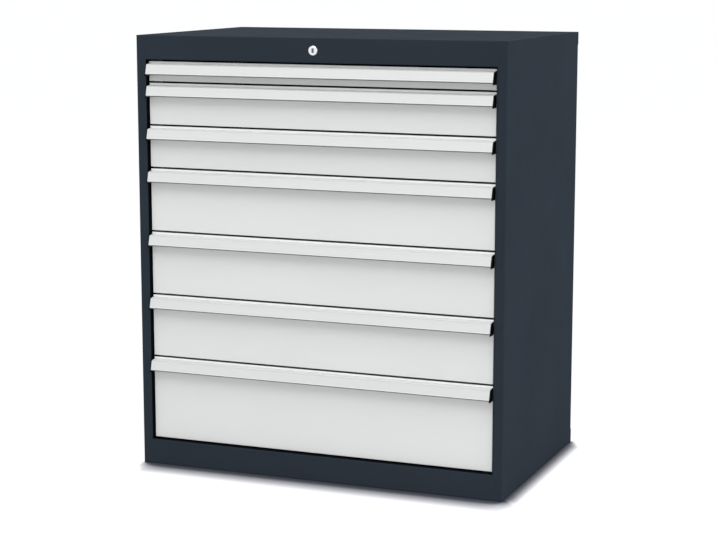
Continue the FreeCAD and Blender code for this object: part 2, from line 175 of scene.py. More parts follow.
def spread(tree, value, low, high):
    """Noise spread over a range; nearly all of it lies within its span."""
    return remap(tree, value, *NOISE_SPAN, low, high)


def times(tree, first, second):
    made = add_node(tree, "ShaderNodeMath", {0: first, 1: second}, operation="MULTIPLY")
    return made.outputs["Value"]


def mix_colours(tree, share, first, second, clamp_factor=True):
    """Colour between two others; a Mix node has its colour sockets behind those of other kinds."""
    made = add_node(
        tree, "ShaderNodeMix", {0: share, FIRST_COLOUR: first, SECOND_COLOUR: second},
        data_type="RGBA", clamp_factor=clamp_factor,
    )
    return made.outputs[MIXED_COLOUR]


print("noise is read from", NOISE_SPAN[0], "to", NOISE_SPAN[1])

# %% [markdown]
# ## Parts of a finish
# Each material starts in the same way and reads its place on the piece in metres. Three steps come
# back in several of them: a mask for worn edges, a tone that a piece can keep for every face, which
# paints shade where a fold or recess is too fine for the light to draw it, or paints a highlight
# where the tone is below 0, and a relief.

# %% Material helpers
EDGE_SAMPLES = 4
EDGE_TURN = (0.98, 0.8)


def start_material(name):
    """New node material, with its node tree and its main shader."""
    material = bpy.data.materials.new(name)
    material.use_nodes = True
    tree = material.node_tree
    return material, tree, tree.nodes["Principled BSDF"]


def piece_place(tree, stretch=(1.0, 1.0, 1.0)):
    """Place on the piece in metres, stretched where a grain runs one way."""
    place = add_node(tree, "ShaderNodeTexCoord").outputs["Object"]
    mapped = add_node(tree, "ShaderNodeMapping", {"Vector": place, "Scale": stretch})
    return mapped.outputs["Vector"]


def edge_mask(tree, reach):
    """1 on an edge and 0 on the flat: how far a rounded normal turns from the face's own."""
    rounded = add_node(tree, "ShaderNodeBevel", {"Radius": reach}, samples=EDGE_SAMPLES)
    flat = add_node(tree, "ShaderNodeNewGeometry")
    along = add_node(
        tree, "ShaderNodeVectorMath", {0: rounded.outputs["Normal"], 1: flat.outputs["Normal"]},
        operation="DOT_PRODUCT",
    )
    return remap(tree, along.outputs["Value"], *EDGE_TURN, 0.0, 1.0)


def painted_light_and_shade(tree, even, deep):
    """Painted shade by each face's tone towards the deep colour; below 0 a painted highlight."""
    share = add_node(tree, "ShaderNodeAttribute", attribute_name="tone").outputs["Fac"]
    return mix_colours(tree, share, even, deep, clamp_factor=False)


def relief(tree, shader, height, depth, strength):
    """Bump of that depth in metres on the shader's normal."""
    bump = add_node(
        tree, "ShaderNodeBump", {"Height": height, "Distance": depth, "Strength": strength}
    )
    tree.links.new(bump.outputs["Normal"], shader.inputs["Normal"])


print("an edge is worn where its normal turns to a cosine of", EDGE_TURN[1])

# %% [markdown]
# ## Studio floor
# A catalogue picture stands the object on white with a soft shadow close to its base. The floor is
# a real white floor for the light that bounces off it. Where the camera or a mirror-like surface
# looks at it, it also glows just enough to reach white. That glow fades where the floor isn't open:
# short rays, leaning back under the front and leaning under the side, tell how much of the cabinet
# is near. Their reach shrinks towards the cabinet's corners, so that the shadow tapers off there.

# %% Floor
FLOOR_REACH = 60.0
FLOOR_DROP = 0.0002
FLOOR_WHITE = 0.8
FLOOR_SHOWN = (0.064, 0.068, 0.084, 1)
WHITE = (1, 1, 1, 1)
GLOW = 0.955
SHADOW_DARK = 0.0
SHADOW_FROM = 0.42
SHADOW_TINT = (0.93, 0.92, 1.0, 1)
FRONT_REACH = 0.078
SIDE_REACH = 0.034
NO_REACH = 0.002
LEFT_FADE = (-0.015, 0.03)
RIGHT_FADE = (0.01, 0.07)
REAR_FADE = (-0.05, 0.02)
FRONT_FADE = (-0.01, 0.03)
FRONT_PULL = (-0.35, 0.85, 0.3)
SIDE_PULL = (-1.0, 0.15, 0.25)
OPEN_SAMPLES = 16


def seen_directly(tree):
    """1 for rays from the camera, a reflection or a pane, and 0 for light that bounces about."""
    rays = add_node(tree, "ShaderNodeLightPath").outputs
    mirror = add_node(
        tree, "ShaderNodeMath", {0: rays["Is Camera Ray"], 1: rays["Is Glossy Ray"]},
        operation="MAXIMUM",
    )
    every = add_node(
        tree, "ShaderNodeMath", {0: mirror.outputs[0], 1: rays["Is Transmission Ray"]},
        operation="MAXIMUM",
    )
    return every.outputs["Value"]


def openness(tree, pull, reach):
    """Share of the short rays towards one side of a floor point that meet nothing in reach."""
    side = add_node(tree, "ShaderNodeCombineXYZ", {"X": pull[0], "Y": pull[1], "Z": pull[2]})
    seen = add_node(
        tree, "ShaderNodeAmbientOcclusion", {"Distance": reach, "Normal": side.outputs[0]},
        samples=OPEN_SAMPLES,
    )
    return seen.outputs["AO"]


def floor_material():
    material, tree, shader = start_material("studio_floor")
    tree.nodes.remove(shader)
    output = tree.nodes["Material Output"]
    bounce = add_node(tree, "ShaderNodeBsdfDiffuse", {"Color": (FLOOR_WHITE,) * 3 + (1,)})
    place = add_node(tree, "ShaderNodeTexCoord").outputs["Object"]
    across, depth, _ = add_node(tree, "ShaderNodeSeparateXYZ", {"Vector": place}).outputs
    left, right, rear, front = (
        remap(tree, way, edge + fade[0], edge + fade[1], *ends)
        for way, edge, fade, ends in (
            (across, cad_low.x, LEFT_FADE, (0.0, 1.0)),
            (across, cad_high.x, RIGHT_FADE, (1.0, 0.0)),
            (depth, cad_high.y, REAR_FADE, (1.0, 0.0)),
            (depth, cad_low.y, FRONT_FADE, (FRONT_REACH, NO_REACH)),
        )
    )
    front_reach = times(tree, times(tree, left, right), front)
    side_reach = times(tree, rear, SIDE_REACH)
    open_share = times(
        tree, openness(tree, FRONT_PULL, front_reach), openness(tree, SIDE_PULL, side_reach)
    )
    glow_level = remap(tree, open_share, SHADOW_FROM, 1.0, SHADOW_DARK, GLOW)
    tint = mix_colours(tree, glow_level, SHADOW_TINT, WHITE)
    glow = add_node(tree, "ShaderNodeEmission", {"Strength": glow_level, "Color": tint})
    dim = add_node(tree, "ShaderNodeBsdfDiffuse", {"Color": FLOOR_SHOWN})
    shown = add_node(tree, "ShaderNodeAddShader", {0: dim.outputs[0], 1: glow.outputs[0]})
    choice = add_node(
        tree, "ShaderNodeMixShader",
        {0: seen_directly(tree), 1: bounce.outputs[0], 2: shown.outputs[0]},
    )
    tree.links.new(choice.outputs[0], output.inputs["Surface"])
    return material


floor_shape = bmesh.new()
bmesh.ops.create_grid(floor_shape, x_segments=1, y_segments=1, size=FLOOR_REACH)
floor_mesh = bpy.data.meshes.new("studio_floor")
floor_shape.to_mesh(floor_mesh)
floor_shape.free()
floor_mesh.materials.append(floor_material())
floor = bpy.data.objects.new("studio_floor", floor_mesh)
floor.location = (0, 0, cad_low.z - FLOOR_DROP)
bpy.context.scene.collection.objects.link(floor)
print("floor at", round(floor.location.z, 4))

# %% [markdown]
# ## Light
# The light itself is plain: an even white surround with three large soft lamps. One above the front
# lifts the top and the fronts, a weak one fills the front from the left, and one at the right keeps
# the side a little lighter than the rails. The surround is pure white only where it is seen
# directly.

# %% Light
SURROUND = 0.648
LAMPS = {
    "overhead_softbox": {
        "place": (0.0, -3.1, 5.8), "aim": (0, 0, 0.5), "size": 5.0, "power": 243.0,
    },
    "front_softbox": {
        "place": (-1.5, -6.0, 2.4), "aim": (0, -0.3, 0.5), "size": 4.0, "power": 10.0,
    },
    "side_softbox": {
        "place": (7.5, 1.0, 3.0), "aim": (0, 0, 0.5), "size": 5.0, "power": 290.0,
    },
}

world = bpy.data.worlds.new("studio")
bpy.context.scene.world = world
world.use_nodes = True
sky = world.node_tree
sky.nodes.clear()
surround = add_node(sky, "ShaderNodeBackground", {"Color": WHITE, "Strength": SURROUND})
backdrop = add_node(sky, "ShaderNodeBackground", {"Color": WHITE, "Strength": 1.0})
sky_choice = add_node(
    sky, "ShaderNodeMixShader",
    {0: seen_directly(sky), 1: surround.outputs[0], 2: backdrop.outputs[0]},
)
sky_output = add_node(sky, "ShaderNodeOutputWorld")
sky.links.new(sky_choice.outputs[0], sky_output.inputs["Surface"])

for name, facts in LAMPS.items():
    lamp_data = bpy.data.lights.new(name, "AREA")
    lamp_data.shape = "SQUARE"
    lamp_data.size = facts["size"]
    lamp_data.energy = facts["power"]
    lamp = bpy.data.objects.new(name, lamp_data)
    lamp.location = facts["place"]
    heading = Vector(facts["aim"]) - Vector(facts["place"])
    lamp.rotation_euler = heading.to_track_quat("-Z", "Y").to_euler()
    bpy.context.scene.collection.objects.link(lamp)
bpy.context.scene.view_settings.view_transform = "Standard"
print("lamps", len(LAMPS))

# %% [markdown]
# ## Powder coat
# Housing and fronts are powder coated. Baked powder is never quite flat: it has a fine orange peel,
# drifts a little in tone over a panel, and is rubbed smooth and lighter along the folded edges.
# Noise at several scales gives these, and one function serves both colours.

# %% Powder coat materials
COAT_CLOUD_SCALE = 4.0
COAT_CLOUD_DETAIL = 3.0
RUB_REACH = 0.0012
RUB_SCALE = 60.0
RUB_PATCHES = (0.35, 0.65, 0.3, 1.0)
SHEEN_SCALE = 25.0
SHEEN_DRIFT = 0.04
PEEL_SCALE = 620.0
PEEL_DEPTH = 0.00004
PEEL_STRENGTH = 0.5
# colour of the painted shade on faces that keep a tone
COAT_PAINTED_SHADE = 0.04


def powder_coat(name, shade, rubbed_shade, drift, roughness, shine, rub):
    """Baked paint: cloudy tone, orange peel, and edges that hands and cloths have rubbed."""
    material, tree, shader = start_material(name)
    place = piece_place(tree)
    cloud = spread(tree, noise(tree, place, COAT_CLOUD_SCALE, COAT_CLOUD_DETAIL), 0.0, 1.0)
    even = mix_colours(tree, cloud, scaled(shade, 1 - drift), scaled(shade, 1 + drift))
    patches = remap(tree, noise(tree, place, RUB_SCALE), *RUB_PATCHES)
    rubbed = times(tree, times(tree, edge_mask(tree, RUB_REACH), patches), rub)
    worn = mix_colours(tree, rubbed, even, rubbed_shade)
    # faces that keep a tone get painted shade, or a painted highlight below 0
    tree.links.new(painted_light_and_shade(tree, worn, scaled(shade, COAT_PAINTED_SHADE)), shader.inputs["Base Color"])
    sheen = noise(tree, place, SHEEN_SCALE)
    sheen_level = spread(tree, sheen, roughness - SHEEN_DRIFT, roughness + SHEEN_DRIFT)
    tree.links.new(sheen_level, shader.inputs["Roughness"])
    shader.inputs["Specular IOR Level"].default_value = shine
    relief(tree, shader, noise(tree, place, PEEL_SCALE), PEEL_DEPTH, PEEL_STRENGTH)
    return material


ANTHRACITE, ANTHRACITE_RUBBED = colour(43, 50, 58), colour(60, 68, 76)
LIGHT_GREY, LIGHT_GREY_RUBBED = colour(219, 221, 220), colour(230, 232, 231)
anthracite_coat = powder_coat(
    "anthracite_powder_coat", ANTHRACITE, ANTHRACITE_RUBBED,
    drift=0.05, roughness=0.6, shine=0.002, rub=0.3,
)
light_grey_coat = powder_coat(
    "light_grey_powder_coat", LIGHT_GREY, LIGHT_GREY_RUBBED,
    drift=0.01, roughness=0.5, shine=0.12, rub=0.3,
)
print("coats", anthracite_coat.name, light_grey_coat.name)

# %% [markdown]
# ## Metals
# The grips are drawn aluminium with a satin anodised skin: the die leaves fine lines along their
# length, so the noise is stretched along X. Slides and bars are zinc plated and rolled along Y. The
# lock is polished chrome, with faint marks that run no particular way.

# %% Metal materials
LINE_DETAIL = 4.0
LINE_STRENGTH = 0.4
LINE_SHARE = (0.6, 1.0)
METAL_CLOUD_SCALE = 9.0
METAL_CLOUD_DETAIL = 3.0
METAL_CLOUD_SHARE = (0.85, 1.0)
ROUGHNESS_SPAN = (0.5, 1.0)
# colour of the painted shade on faces that keep a tone
METAL_PAINTED_SHADE = 0.15


def drawn_metal(name, shade, stretch, roughness, drift, depth, metallic=1.0, shine=0.5):
    """Metal with fine lines along one axis, which also change its roughness."""
    material, tree, shader = start_material(name)
    lines = noise(tree, piece_place(tree, stretch), 1.0, LINE_DETAIL)
    cloud = noise(tree, piece_place(tree), METAL_CLOUD_SCALE, METAL_CLOUD_DETAIL)
    streaked = mix_colours(tree, spread(tree, lines, 0.0, 1.0), scaled(shade, 1 - drift), shade)
    # faces that keep a tone get painted shade, or a painted highlight below 0
    tree.links.new(painted_light_and_shade(tree, streaked, scaled(shade, METAL_PAINTED_SHADE)), shader.inputs["Base Color"])
    mixed = times(
        tree, spread(tree, lines, *LINE_SHARE), spread(tree, cloud, *METAL_CLOUD_SHARE)
    )
    tree.links.new(remap(tree, mixed, *ROUGHNESS_SPAN, *roughness), shader.inputs["Roughness"])
    shader.inputs["Metallic"].default_value = metallic
    shader.inputs["Specular IOR Level"].default_value = shine
    relief(tree, shader, lines, depth, LINE_STRENGTH)
    return material


grip_aluminium = drawn_metal(
    "satin_aluminium", colour(250, 251, 251), stretch=(1.5, 420.0, 420.0), roughness=(0.46, 0.58),
    drift=0.04, depth=0.00001, metallic=0.1, shine=0.1,
)
zinc_steel = drawn_metal(
    "zinc_plated_steel", colour(196, 199, 202), stretch=(260.0, 4.0, 260.0),
    roughness=(0.3, 0.46), drift=0.12, depth=0.00001,
)
lock_chrome = drawn_metal(
    "polished_chrome", colour(228, 230, 233), stretch=(300.0, 300.0, 300.0),
    roughness=(0.06, 0.12), drift=0.02, depth=0.000002,
)
print("metals", grip_aluminium.name, zinc_steel.name, lock_chrome.name)

# %% [markdown]
# ## Plastic
# The grips' end caps are moulded in black plastic. The mould is spark eroded, which leaves a fine
# matt grain in the relief; its tips are painted a little lighter, a painted glint of the light they
# catch.

# %% Plastic material
SPARK_SCALE = 1500.0
SPARK_DETAIL = 3.0
# the grain's tips are painted lighter, a painted glint
SPARK_GLINT_SPAN = (0.4, 0.7)
SPARK_PAINTED_GLINT = 1.6
SPARK_DEPTH = 0.00003
SPARK_STRENGTH = 0.6
PLASTIC_CLOUD_SCALE = 90.0
PLASTIC_ROUGHNESS = (0.5, 0.62)
PLASTIC_SHINE = 0.04
PLASTIC_BLACK = (0.003, 0.003, 0.0034, 1)


def moulded_plastic(name, shade):
    material, tree, shader = start_material(name)
    place = piece_place(tree)
    spark = noise(tree, place, SPARK_SCALE, SPARK_DETAIL)
    tips = remap(tree, spark, *SPARK_GLINT_SPAN, 0.0, 1.0)
    grain = mix_colours(tree, tips, shade, scaled(shade, SPARK_PAINTED_GLINT))
    tree.links.new(grain, shader.inputs["Base Color"])
    cloud = spread(tree, noise(tree, place, PLASTIC_CLOUD_SCALE), *PLASTIC_ROUGHNESS)
    tree.links.new(cloud, shader.inputs["Roughness"])
    shader.inputs["Specular IOR Level"].default_value = PLASTIC_SHINE
    relief(tree, shader, spark, SPARK_DEPTH, SPARK_STRENGTH)
    return material


cap_plastic = moulded_plastic("black_plastic", PLASTIC_BLACK)
print("plastic", cap_plastic.name)

# %% [markdown]
# ## Pieces from the frame
# The slides, uprights, bars and the back panel already have their true shape. They only need a
# finish, which goes into the material slot of each node's object. The nodes that we model again
# later are dressed too, so that no piece is ever bare.

# %% Dress the frame's own nodes
SLOT_FINISH = {
    "housing_paint": anthracite_coat,
    "box_paint": anthracite_coat,
    "front_paint": light_grey_coat,
    "grip_aluminium": grip_aluminium,
    "cap_plastic": cap_plastic,
    "zinc_steel": zinc_steel,
    "lock_chrome": lock_chrome,
}
node_slot = {part["node"]: part["material_slot"] for part in frame["record"]["subparts"]}


def dress(node_name):
    node_object = frame["nodes"][node_name]
    finish = SLOT_FINISH[node_slot[node_name]]
    for place in range(len(node_object.data.materials)):
        node_object.data.materials[place] = finish
    if not node_object.data.materials:
        node_object.data.materials.append(finish)


for node_name in frame["nodes"]:
    dress(node_name)
print("dressed", len(node_slot), "nodes")

# %% [markdown]
# ## New pieces
# A new piece starts as a bmesh, and one helper turns it into an object: it merges doubles, points
# the normals outward, keeps a tone of painted light and shade for every face where one is asked
# for, shades the rounded edges smooth while the flats stay flat, and hangs the piece on its body in
# place of the frame's node.

# %% Helper for new pieces
MERGE_BELOW = 1e-6
SMOOTH_BELOW = math.radians(32)


def new_piece(name, shape, finish, body, stands_for=(), wall=0.0, tone=None):
    """Object made of a shape, dressed, on its body and in place of the nodes it stands for."""
    bmesh.ops.remove_doubles(shape, verts=shape.verts, dist=MERGE_BELOW)
    bmesh.ops.recalc_face_normals(shape, faces=shape.faces)
    # faces may keep a tone of painted light and shade
    if tone:
        painted_tone_layer = shape.faces.layers.float.new("tone")
        for face in shape.faces:
            face[painted_tone_layer] = tone(face)
    mesh = bpy.data.meshes.new(name)
    shape.to_mesh(mesh)
    shape.free()
    mesh.materials.append(finish)
    mesh.shade_smooth()
    mesh.set_sharp_from_angle(angle=SMOOTH_BELOW)
    piece = bpy.data.objects.new(name, mesh)
    bpy.context.scene.collection.objects.link(piece)
    if wall:
        sheet = piece.modifiers.new("sheet_wall", "SOLIDIFY")
        sheet.thickness = wall
        sheet.offset = -1.0
        sheet.use_even_offset = True
    even = piece.modifiers.new("even_shading", "WEIGHTED_NORMAL")
    even.keep_sharp = True
    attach(piece, body)
    if stands_for:
        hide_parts(*stands_for)
    return piece


DRAWER_COUNT = sum(
    1 for body in frame["bodies"] if body.startswith("drawer_") and not body.endswith("_mid")
)
print("drawers", DRAWER_COUNT)

# %% [markdown]
# ## Work on a shape
# Most shapes here start as a block or a drawn section and are then folded and cut. These helpers
# make the block, find what an operator has made, pick edges by their place, round them to a true
# radius and cut a shape across.

# %% Helpers for shapes
CUT_BELOW = 1e-7
FACING = 0.5


def block(size, middle):
    """Box of that size about its middle."""
    shape = bmesh.new()
    bmesh.ops.create_cube(shape, size=1.0)
    bmesh.ops.scale(shape, vec=size, verts=shape.verts)
    bmesh.ops.translate(shape, vec=middle, verts=shape.verts)
    return shape


def made_by(result, kind=bmesh.types.BMVert):
    """The vertices, or another kind of element, among what an operator made."""
    return [item for item in result["geom"] if isinstance(item, kind)]


def edges_where(shape, test):
    """Edges whose both ends pass a test on their place."""
    return [edge for edge in shape.edges if all(test(vert.co) for vert in edge.verts)]


def round_edges(shape, edges, radius, segments=4):
    """Round alike edges to one radius; the offset runs from the edge to the curve's start."""
    turn = edges[0].calc_face_angle() if len(edges[0].link_faces) == 2 else math.radians(90)
    bmesh.ops.bevel(
        shape, geom=edges, offset=radius * math.tan(turn / 2), offset_type="OFFSET",
        segments=segments, profile=0.5, affect="EDGES", material=-1, clamp_overlap=True,
    )


def cut_across(shape, place, normal):
    every = shape.verts[:] + shape.edges[:] + shape.faces[:]
    bmesh.ops.bisect_plane(shape, geom=every, plane_co=place, plane_no=normal, dist=CUT_BELOW)


print("a face looks one way from a share of", FACING, "on that axis")

# %% [markdown]
# ## Housing sheets
# The drawers sit back in their opening, and the folded edges round it lie in deep shade, which is
# painted into their colour. Those edges belong to the housing's own sheets, so we copy each sheet
# from the frame, join its loose triangles, and let the copy keep a tone of painted shade for every
# face. Joining them also lets the bends shade smoothly.

# %% Housing sheets
RETURN_DEPTH = 0.03
RETURN_GAP = 0.0045
# painted shade on the folded edges round the opening
RETURN_PAINTED_SHADE = 0.85

opening_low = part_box(f"drawer_{DRAWER_COUNT}_front")[0]
opening_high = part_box("drawer_1_front")[1]


def return_painted_shade(face):
    """Painted shade on the folded edges that face the drawers, none on the rest of the sheet."""
    middle = face.calc_center_median()
    beside = opening_low.x - RETURN_GAP < middle.x < opening_high.x + RETURN_GAP
    level = opening_low.z - RETURN_GAP < middle.z < opening_high.z + RETURN_GAP
    near = middle.y < opening_low.y + RETURN_DEPTH and face.normal.y > -FACING
    return RETURN_PAINTED_SHADE if beside and level and near else 0.0


for node_name in ("right_side_panel", "left_side_panel", "top_panel", "base_pan"):
    shape = bmesh.new()
    shape.from_mesh(frame["nodes"][node_name].data)
    sheet = new_piece(
        f"{node_name}_sheet", shape, anthracite_coat, "housing", [node_name],
        tone=return_painted_shade,
    )
    print(sheet.name, "faces", len(sheet.data.polygons))

# %% [markdown]
# ## Drawer fronts
# Each front is one sheet folded back on all four sides. A block without its rear face is the
# quickest start: rounding its front edges gives the folds, and a Solidify modifier gives the sheet
# its wall. The narrow strip above the grip is cut off as a face of its own and painted lighter, a
# painted highlight for the light that the grip's flange throws on it, so that it is the brightest
# line of the front. The folds get painted shade, deepest where they face up into the gaps.

# %% Drawer fronts
FRONT_SHEET = 0.0012
FRONT_FOLD = 0.002
FRONT_CORNER = 0.0008
# tones of painted light and shade: a painted highlight on the strip, painted shade on the folds
STRIP_PAINTED_HIGHLIGHT = -0.3
GAP_PAINTED_SHADE = 0.85
EDGE_PAINTED_SHADE = 0.3
FOLD_STARTS = 0.6
NEAR = 1e-5


def folded_front(low, high, strip_level):
    shape = block(high - low, (low + high) / 2)
    rear_faces = [face for face in shape.faces if face.normal.y > FACING]
    bmesh.ops.delete(shape, geom=rear_faces, context="FACES_ONLY")
    depth_edges = [
        edge for edge in shape.edges if abs(edge.verts[0].co.y - edge.verts[1].co.y) > NEAR
    ]
    round_edges(shape, depth_edges, FRONT_CORNER, segments=3)
    front_edges = edges_where(shape, lambda place: abs(place.y - low.y) < NEAR)
    round_edges(shape, front_edges, FRONT_FOLD)
    cut_across(shape, (0, 0, strip_level), (0, 0, 1))
    return shape


def front_painted_light_shade(strip_level):
    """Painted highlight on the strip, none below it, painted shade on the folds, deepest in gaps.
    """
    def tone(face):
        if face.normal.y < -FOLD_STARTS:
            return STRIP_PAINTED_HIGHLIGHT if face.calc_center_median().z > strip_level else 0.0
        return GAP_PAINTED_SHADE if face.normal.z > FOLD_STARTS else EDGE_PAINTED_SHADE

    return tone


for number in range(1, DRAWER_COUNT + 1):
    node_name = f"drawer_{number}_front"
    low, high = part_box(node_name)
    strip_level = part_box(f"drawer_{number}_grip")[1].z
    front = new_piece(
        f"front_sheet_{number}", folded_front(low, high, strip_level), light_grey_coat,
        f"drawer_{number}", [node_name], FRONT_SHEET, front_painted_light_shade(strip_level),
    )
print("front sheets", DRAWER_COUNT, "faces each", len(front.data.polygons))

# %% [markdown]
# ## Drawn sections
# The grips and the plugs of their caps have one section over their whole length. We draw such a
# section as a chain of a few vertices and extrude it along X. Its corners become edges along X, so
# a fold is found again by its place in the section.

# %% Sections drawn along X
def swept_section(section, x_start, x_end):
    """Chain of (y, z) places, extruded along X."""
    shape = bmesh.new()
    chain = [shape.verts.new((x_start, y, z)) for y, z in section]
    edges = [shape.edges.new(pair) for pair in zip(chain, chain[1:])]
    drawn = bmesh.ops.extrude_edge_only(shape, edges=edges)
    bmesh.ops.translate(shape, vec=(x_end - x_start, 0, 0), verts=made_by(drawn))
    return shape


def folds_at(shape, place):
    """Edges along X that lie at a (y, z) place."""
    return edges_where(shape, lambda at: math.dist((at.y, at.z), place) < NEAR)


print("a fold is found to within", NEAR)

# %% [markdown]
# ## Grips
# A grip is a drawn profile: a short leg on the front, a flange that comes forward and falls a
# little, a leaning face, and a hook that turns in under it. Its folds are rounded and Solidify adds
# the wall. Light and shade are painted on: each face of the mesh keeps a tone of its own, so that
# the fold shows a painted grey line of shade, the lip a painted brighter line, the flange is
# painted lighter than the face and the underside gets a painted shadow.

# %% Grips
GRIP_LEG = 0.014
GRIP_REACH = 0.0168
GRIP_DROP = 0.0021
GRIP_HOOK = 0.0045
GRIP_WALL = 0.002
GRIP_FOLD = 0.0026
GRIP_LIP = 0.0045
# tones of painted light and shade: a painted shadow underneath, painted grey shade at the fold, the
# face painted darker than the flange and the lip a little lighter
UNDER_BELOW, UNDER_PAINTED_SHADOW = -0.1, 1.0
FLANGE_ABOVE, FLANGE_PAINTED_LIGHT = -0.2, 0.32
FOLD_ABOVE, FOLD_PAINTED_SHADE = 0.45, 0.5
FIELD_PAINTED_SHADE = 0.38
LIP_PAINTED_HIGHLIGHT = 0.3


def grip_profile(low, high):
    root = Vector((high.y, high.z))
    fold = Vector((high.y - GRIP_REACH, high.z - GRIP_DROP))
    foot = Vector((low.y, low.z))
    lip = foot + (fold - foot).normalized() * GRIP_LIP
    section = [
        root - Vector((0, GRIP_LEG)), root, fold, lip, foot, foot + Vector((GRIP_HOOK, 0)),
    ]
    shape = swept_section(section, low.x, high.x)
    bmesh.ops.recalc_face_normals(shape, faces=shape.faces)
    for place in (root, fold, foot):
        round_edges(shape, folds_at(shape, place), GRIP_FOLD, segments=6)
    return shape


def grip_painted_light_shade(foot_level):
    """Painted light and shade by the way each face looks: underside, flange, fold, face and lip."""
    def tone(face):
        if face.normal.z < UNDER_BELOW:
            return UNDER_PAINTED_SHADOW
        if face.normal.y > FLANGE_ABOVE:
            return FLANGE_PAINTED_LIGHT
        if face.normal.z > FOLD_ABOVE:
            return FOLD_PAINTED_SHADE
        above_lip = face.calc_center_median().z > foot_level + GRIP_LIP
        return FIELD_PAINTED_SHADE if above_lip else LIP_PAINTED_HIGHLIGHT

    return tone


for number in range(1, DRAWER_COUNT + 1):
    node_name = f"drawer_{number}_grip"
    low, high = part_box(node_name)
    grip = new_piece(
        f"grip_profile_{number}", grip_profile(low, high), grip_aluminium,
        f"drawer_{number}", [node_name], GRIP_WALL, grip_painted_light_shade(low.z),
    )
print("grips", DRAWER_COUNT, "faces each", len(grip.data.polygons))

# %% [markdown]
# ## End caps
# Black caps close both ends of each grip. The plate follows the grip's outline and stands a little
# below its face; a folded spigot behind it plugs into the profile and holds the cap by friction.

# %% End caps
CAP_PLATE = 0.0015
CAP_EDGE = 0.0004
SPIGOT_LENGTH = 0.010
SPIGOT_WALL = 0.002
SPIGOT_INSET = 0.0055
SPIGOT_GAP = 0.0023
SPIGOT_LOWER = 1.2
SPIGOT_SLOPE = 0.5


def cap_plate(low, high, x_inner, x_outer):
    """Plate over the profile's end, its outer rim broken as a mould leaves it."""
    fold = (high.y - GRIP_REACH, high.z - GRIP_DROP)
    corners = [(high.y, high.z), fold, (low.y, low.z), (high.y, low.z)]
    shape = bmesh.new()
    rim = [shape.verts.new((x_inner, y, z)) for y, z in corners]
    plate = bmesh.ops.extrude_face_region(shape, geom=[shape.faces.new(rim)])
    bmesh.ops.translate(shape, vec=(x_outer - x_inner, 0, 0), verts=made_by(plate))
    bmesh.ops.recalc_face_normals(shape, faces=shape.faces)
    round_edges(shape, folds_at(shape, fold), GRIP_FOLD, segments=5)
    outer_rim = edges_where(shape, lambda at: abs(at.x - x_outer) < NEAR)
    round_edges(shape, outer_rim, CAP_EDGE, segments=2)
    return shape


def cap_spigot(low, high, x_inner, x_end):
    """Folded plug inside the profile, a running gap in from its wall."""
    fold = Vector((high.y - GRIP_REACH, high.z - GRIP_DROP))
    foot = Vector((low.y, low.z))
    down = (foot - fold).normalized()
    inner_fold = fold + Vector((SPIGOT_GAP, -SPIGOT_GAP * SPIGOT_LOWER))
    depth = GRIP_REACH - SPIGOT_INSET - SPIGOT_GAP
    section = [
        inner_fold + Vector((depth, GRIP_DROP * SPIGOT_SLOPE)),
        inner_fold,
        inner_fold + down * ((foot - fold).length - 2 * SPIGOT_INSET),
    ]
    return swept_section(section, x_inner, x_end)


for number in range(1, DRAWER_COUNT + 1):
    node_name = f"drawer_{number}_end_caps"
    low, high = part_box(node_name)
    for side, outer in (("left", low.x), ("right", high.x)):
        inner = outer - math.copysign(CAP_PLATE, outer)
        end = inner - math.copysign(SPIGOT_LENGTH, outer)
        for form, shape, wall in (
            ("plate", cap_plate(low, high, inner, outer), 0.0),
            ("spigot", cap_spigot(low, high, inner, end), SPIGOT_WALL),
        ):
            cap = new_piece(
                f"{side}_cap_{form}_{number}", shape, cap_plastic,
                f"drawer_{number}", [node_name], wall,
            )
print("end caps", 2 * DRAWER_COUNT, "faces each spigot", len(cap.data.polygons))

# %% [markdown]
# ## Drawer boxes
# Behind each front is an open tray with a hem folded inwards along its top. Its side and rear walls
# are punched with rows of upright slots that take the drawer dividers. A block makes the tray;
# cutting it along planes gives us the slots' outlines, and the faces inside those outlines are
# taken away.

# %% Drawer boxes
BOX_SHEET = 0.001
BOX_BEND = 0.002
BOX_HEM = 0.008
SLOT_PITCH = 0.025
SLOT_WIDTH = 0.004
SLOT_FROM_FLOOR = 0.012
SLOT_FROM_TOP = 0.014
SLOT_FROM_END = 0.030
CORNER_TURN = math.radians(80)
WALL_FACING = 0.9


def slot_bands(start, end):
    """Start and end of each slot along a wall, set out from its middle."""
    count = int((end - start - 2 * SLOT_FROM_END) / SLOT_PITCH) + 1
    first = (start + end) / 2 - SLOT_PITCH * (count - 1) / 2
    middles = [first + SLOT_PITCH * step for step in range(count)]
    return [(middle - SLOT_WIDTH / 2, middle + SLOT_WIDTH / 2) for middle in middles]


def in_band(value, bands):
    return any(start < value < end for start, end in bands)


def hemmed_tray(low, high):
    shape = block(high - low, (low + high) / 2)
    top = [face for face in shape.faces if face.normal.z > FACING]
    bmesh.ops.inset_individual(shape, faces=top, thickness=BOX_HEM, depth=0.0)
    bmesh.ops.delete(shape, geom=top, context="FACES_ONLY")
    outer = [
        edge for edge in shape.edges
        if len(edge.link_faces) == 2 and edge.calc_face_angle() > CORNER_TURN
    ]
    round_edges(shape, outer, BOX_BEND, segments=3)
    return shape


